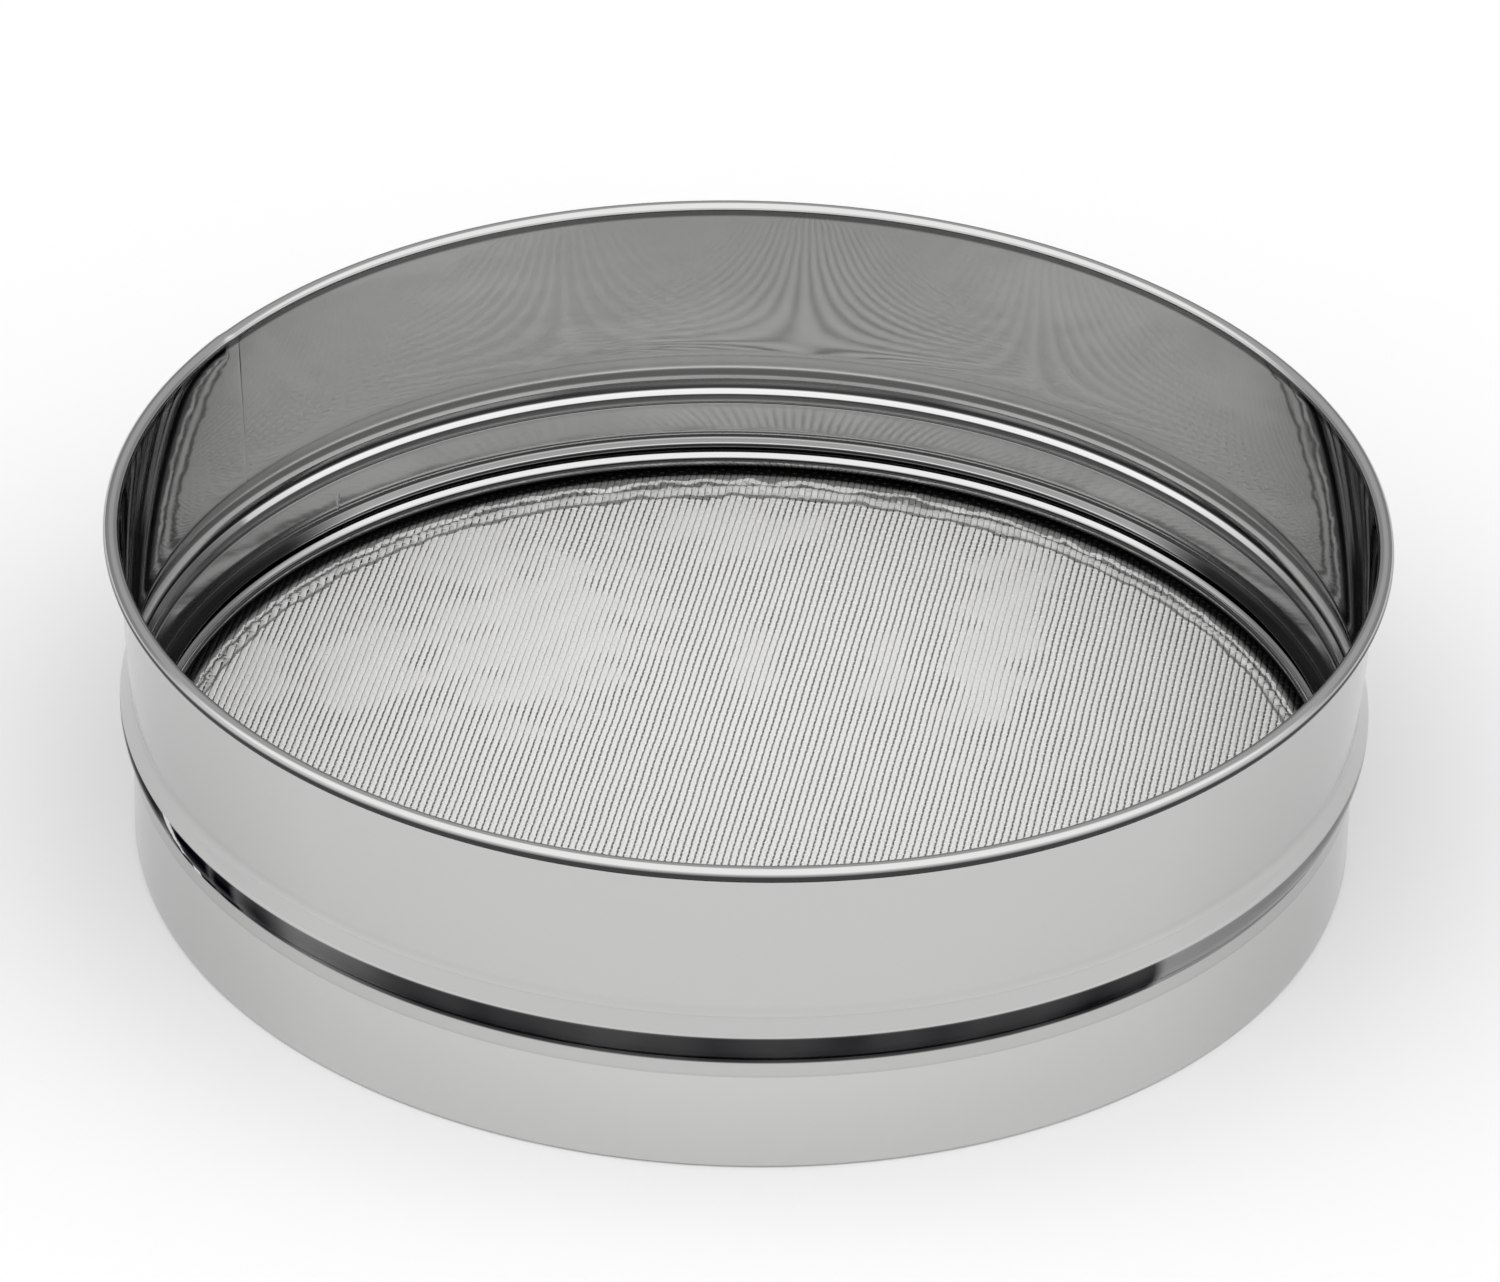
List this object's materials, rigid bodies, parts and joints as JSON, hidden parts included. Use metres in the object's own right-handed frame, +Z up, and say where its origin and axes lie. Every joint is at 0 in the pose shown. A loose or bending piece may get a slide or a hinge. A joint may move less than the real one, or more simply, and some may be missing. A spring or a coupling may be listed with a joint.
{
  "type": "tamis drum sieve",
  "caption": "Flat round kitchen sieve: a polished steel drum with a rolled rim, a raised band and a stepped skirt, holding fine woven mesh near its foot.",
  "frame": {"origin": "on the drum's axis, at the level of the table under its foot", "axes": "+Z up along the drum's axis, from the foot to the rolled rim; +Y is away from the viewer of the picture"},
  "size_m": [0.3, 0.3, 0.0834],
  "materials": {
    "hoop_steel": "bright rolled stainless sheet, lightly polished",
    "wire_steel": "drawn steel wire",
    "ring_steel": "polished rolled stainless moulding",
    "mesh_steel": "woven stainless wire cloth"
  },
  "bodies": {
    "root": {"upper_hoop": "hoop_steel", "skirt_hoop": "hoop_steel", "rim_wire": "wire_steel", "upper_clamp_ring": "ring_steel", "lower_clamp_ring": "ring_steel", "mesh_cloth": "mesh_steel"}
  },
  "joints": []
}
